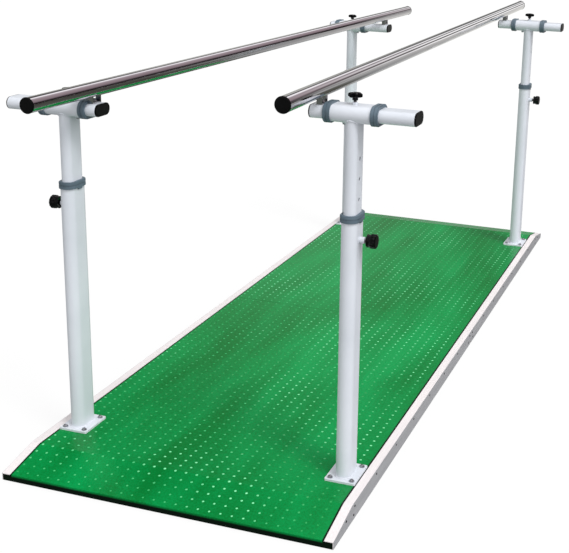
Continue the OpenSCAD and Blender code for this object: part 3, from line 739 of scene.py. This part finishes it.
def pin_knob(end, side):
    """Spool on its locking pin: a flange with a hollow neck, a waist that dips by a power
    of a sine, and a fluted drum whose rim is a quarter circle."""
    low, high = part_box(f"height_knob_{end}_{side}")
    way = WAY[side]
    outer = high.x if side == "right" else low.x
    nose = low.x if side == "right" else high.x
    y, z = WAY[end] * POST_Y, PIN_Z
    t = np.linspace(0.0, 1.0, 9)
    quarter = t * np.pi / 2
    neck_h = np.array([NECK_HOLE_DEEP, NECK_HOLE_DEEP, NECK_EDGE_DEEP, 0.0])
    neck_r = np.array([0.0, NECK_HOLE_R, NECK_HOLE_R, NECK_HOLE_R + NECK_EDGE_WIDE])
    lip_h = KNOB_LIP - KNOB_LIP * np.cos(quarter)
    lip_r = KNOB_FLANGE - KNOB_LIP + KNOB_LIP * np.sin(quarter)
    waist_h = WAIST_FROM + (KNOB_DRUM - WAIST_FROM) * t
    waist_r = (KNOB_FLANGE + (KNOB_R - KNOB_FLANGE) * t ** 3
               - (KNOB_FLANGE - KNOB_WAIST) * np.sin(np.pi * t) ** 1.2)
    rim_h = KNOB_LONG - KNOB_RIM + KNOB_RIM * np.sin(quarter)
    rim_r = KNOB_R - KNOB_RIM + KNOB_RIM * np.cos(quarter)
    heights = np.concatenate([neck_h, lip_h, waist_h, rim_h, [KNOB_LONG]])
    radii = np.concatenate([neck_r, lip_r, waist_r, rim_r, [0.0]])
    plain = np.zeros(len(neck_h) + len(lip_h))
    flute = np.concatenate([plain, np.clip(t * 3 - 2, 0, 1), np.cos(quarter), [0.0]])
    axis = ((way, 0, 0), (0, 1, 0), (0, 0, 1))
    start = (outer - way * KNOB_LONG, y, z)
    grip = turned(f"pin_grip_{end}_{side}", heights, radii, flute * KNOB_FLUTE,
                  KNOB_FLUTES, 0.6, axis, start, BLACK)
    reach = abs(start[0] + way * NECK_HOLE_DEEP - nose)
    pin_h = np.array([0.0, 0.0, PIN_BEVEL, reach, reach])
    pin_r = np.array([0.0, PIN_R - PIN_BEVEL, PIN_R, PIN_R, 0.0])
    pin = turned(f"locking_pin_{end}_{side}", pin_h, pin_r, pin_r * 0, 1, 1.0, axis,
                 (nose, y, z), ZINC)
    for piece, slot in ((grip, "black_plastic"), (pin, "zinc")):
        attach(piece, f"pin_{end}_{side}")
    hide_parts(f"height_knob_{end}_{side}")


for end, side in CORNERS:
    pin_knob(end, side)
print("knobs:", 2 * len(CORNERS))

# %% [markdown]
# ## Studio
# The object stands on white paper that keeps a faint shadow. Two far lamps shine from the
# entry end's right-hand side, and the room's even light fills in, so that colours show as
# they are written. A polished tube shows nothing but its surroundings, so mirrors get
# surroundings of their own: the dark and pale bands of a hall.

# %% Floor
FLOOR_SIZE = 60.0
FLOOR_Z = -0.0005
FLOOR_GREY = 0.38
HALL_LIGHT = 1.35
PAPER_LIGHT = 1.24
SHADOW_SHARE = 0.3


def studio_floor():
    """White paper for the lens: a share of it is a lit floor, which keeps the shadow. Its
    light on the posts is that of a plain floor, and a mirror sees a dark hall's floor,
    with a paler lane ahead of the walk."""
    finish, tree, shader = new_finish("studio_floor")
    finish.cycles.emission_sampling = "NONE"
    ray = add(tree, "ShaderNodeLightPath")
    shader.inputs["Base Color"].default_value = (FLOOR_GREY, FLOOR_GREY, FLOOR_GREY, 1.0)
    shader.inputs["Roughness"].default_value = 0.9
    shader.inputs["Specular IOR Level"].default_value = 0.0
    white = add(tree, "ShaderNodeEmission", [
        ("Color", (1, 1, 1, 1)), ("Strength", PAPER_LIGHT)])
    paper = add(tree, "ShaderNodeMixShader", [
        (0, SHADOW_SHARE), (1, white.outputs[0]), (2, shader.outputs[0])])
    place = add(tree, "ShaderNodeTexCoord")
    parts = add(tree, "ShaderNodeSeparateXYZ", [(0, place.outputs["Object"])])
    aside = add(tree, "ShaderNodeMath", [(0, parts.outputs["X"])], operation="ABSOLUTE")
    aside = add(tree, "ShaderNodeMath", [(0, aside.outputs["Value"]), (1, 1.0)],
                operation="ADD")
    ahead = add(tree, "ShaderNodeMath", [
        (0, parts.outputs["Y"]), (1, aside.outputs["Value"])], operation="DIVIDE")
    along = add(tree, "ShaderNodeMapRange", [
        ("Value", ahead.outputs["Value"]), ("From Min", 0.0), ("From Max", 4.0)])
    hall = add(tree, "ShaderNodeEmission", [("Strength", HALL_LIGHT),
        ("Color", ramp(tree, along.outputs["Result"],
                       [(0.0, "5a5f5a"), (0.2, "45463f"), (0.3, "55564f"),
                        (0.38, "8f9090"), (0.5, "a4a4a2"), (1.0, "cacac6")]))])
    seen = add(tree, "ShaderNodeMixShader", [
        (0, ray.outputs["Is Camera Ray"]), (1, shader.outputs[0]), (2, paper.outputs[0])])
    mix = add(tree, "ShaderNodeMixShader", [
        (0, ray.outputs["Is Glossy Ray"]), (1, seen.outputs[0]), (2, hall.outputs[0])])
    out = next(n for n in tree.nodes if n.type == "OUTPUT_MATERIAL")
    tree.links.new(mix.outputs[0], out.inputs["Surface"])
    half = FLOOR_SIZE / 2
    corners = np.array([[-half, -half, FLOOR_Z], [half, -half, FLOOR_Z],
                        [half, half, FLOOR_Z], [-half, half, FLOOR_Z]])
    floor = make_mesh("floor", corners, np.array([[0, 1, 2, 3]]), finish, smooth=False)
    return floor


studio_floor()

# %% Lamps and room
def far_lamp(name, height, swing, spread_angle, strength):
    """A lamp so far off that its light falls alike everywhere. Height and swing are the
    angles above the floor and round from the right-hand side towards the entry end."""
    light = bpy.data.lights.new(name, "SUN")
    light.energy = strength
    light.angle = math.radians(spread_angle)
    thing = bpy.data.objects.new(name, light)
    bpy.context.scene.collection.objects.link(thing)
    up_angle, side_angle = math.radians(height), math.radians(swing)
    source = Vector((math.cos(up_angle) * math.cos(side_angle),
                     -math.cos(up_angle) * math.sin(side_angle), math.sin(up_angle)))
    thing.rotation_euler = source.to_track_quat("Z", "Y").to_euler()
    return thing


LAMP_LIGHT = 1.2
for lamp in (
        far_lamp("key", height=54.0, swing=30.0, spread_angle=16.0, strength=LAMP_LIGHT),
        far_lamp("fill", height=44.0, swing=34.0, spread_angle=70.0, strength=LAMP_LIGHT)):
    lamp.visible_glossy = False

# Each band is a share of the turn round the walk's direction, and its screen colour.
NEAR_BANDS = [
    (0.0, "7a7a74"), (0.46, "4a4648"), (0.50, "2a2426"), (0.507, "1a1615"), (0.55, "221c1c"),
    (0.575, "5a5055"), (0.60, "887b80"), (0.64, "968589"), (0.69, "9c8f95"),
    (0.73, "b6abb0"), (0.745, "d8cdd0"), (0.762, "ffffff"), (0.797, "fffbff"),
    (0.81, "605c5d"), (0.83, "2c2a2b"), (0.89, "282828"), (0.92, "8c8c88"), (1.0, "a2a29c")]
MIDDLE_BANDS = NEAR_BANDS[:-4] + [
    (0.83, "4c4a4a"), (0.852, "605e5e"), (0.862, "b4b4b0"), (0.90, "a8a8a4"), (1.0, "a2a29c")]
FAR_BANDS = [
    (0.0, "c4c4c2"), (0.49, "b4b4b2"), (0.51, "ffffff"), (0.55, "f4f3f0"), (0.565, "5c5c5a"),
    (0.61, "5a5a58"), (0.63, "ffffff"), (0.68, "f4f4f2"), (0.70, "6a6a6a"), (0.735, "6e6e6e"),
    (0.755, "ffffff"), (0.79, "e0e0de"), (0.81, "626262"), (0.83, "606060"),
    (0.90, "606060"), (1.0, "b8b8b4")]
MIDDLE_ZONE = (0.78, 0.86)
FAR_ZONE = (0.915, 0.965)
ROOM_LIGHT = 0.72


def room(strength):
    """Even light for every matt surface, and plain white for the lens. Mirrors see the
    hall's walls as bands round the direction of the walk, with fewer dark ones towards
    its far end."""
    world = bpy.data.worlds.new("room")
    bpy.context.scene.world = world
    world.use_nodes = True
    tree = world.node_tree
    tree.nodes.clear()
    ray = add(tree, "ShaderNodeLightPath")
    even = add(tree, "ShaderNodeBackground", [("Color", (1, 1, 1, 1)), ("Strength", strength)])
    plain = add(tree, "ShaderNodeBackground", [("Color", (1, 1, 1, 1)), ("Strength", 1.0)])
    way = add(tree, "ShaderNodeTexCoord")
    parts = add(tree, "ShaderNodeSeparateXYZ", [(0, way.outputs["Generated"])])
    angle = add(tree, "ShaderNodeMath", [
        (0, parts.outputs["Z"]), (1, parts.outputs["X"])], operation="ARCTAN2")
    share = add(tree, "ShaderNodeMapRange", [
        ("Value", angle.outputs["Value"]), ("From Min", -math.pi), ("From Max", math.pi)])
    bands = ramp(tree, share.outputs["Result"], NEAR_BANDS)
    for (low, high), stops in ((MIDDLE_ZONE, MIDDLE_BANDS), (FAR_ZONE, FAR_BANDS)):
        farther = add(tree, "ShaderNodeMapRange", [
            ("Value", parts.outputs["Y"]), ("From Min", low), ("From Max", high)])
        bands = add(tree, "ShaderNodeMix", [
            (0, farther.outputs["Result"]), (6, bands),
            (7, ramp(tree, share.outputs["Result"], stops))], data_type="RGBA").outputs[2]
    walls = add(tree, "ShaderNodeBackground", [("Color", bands), ("Strength", HALL_LIGHT)])
    mirrored = add(tree, "ShaderNodeMixShader", [
        (0, ray.outputs["Is Glossy Ray"]), (1, even.outputs[0]), (2, walls.outputs[0])])
    mix = add(tree, "ShaderNodeMixShader", [
        (0, ray.outputs["Is Camera Ray"]), (1, mirrored.outputs[0]), (2, plain.outputs[0])])
    add(tree, "ShaderNodeOutputWorld", [("Surface", mix.outputs[0])])


room(ROOM_LIGHT)
bpy.context.scene.view_settings.view_transform = "Standard"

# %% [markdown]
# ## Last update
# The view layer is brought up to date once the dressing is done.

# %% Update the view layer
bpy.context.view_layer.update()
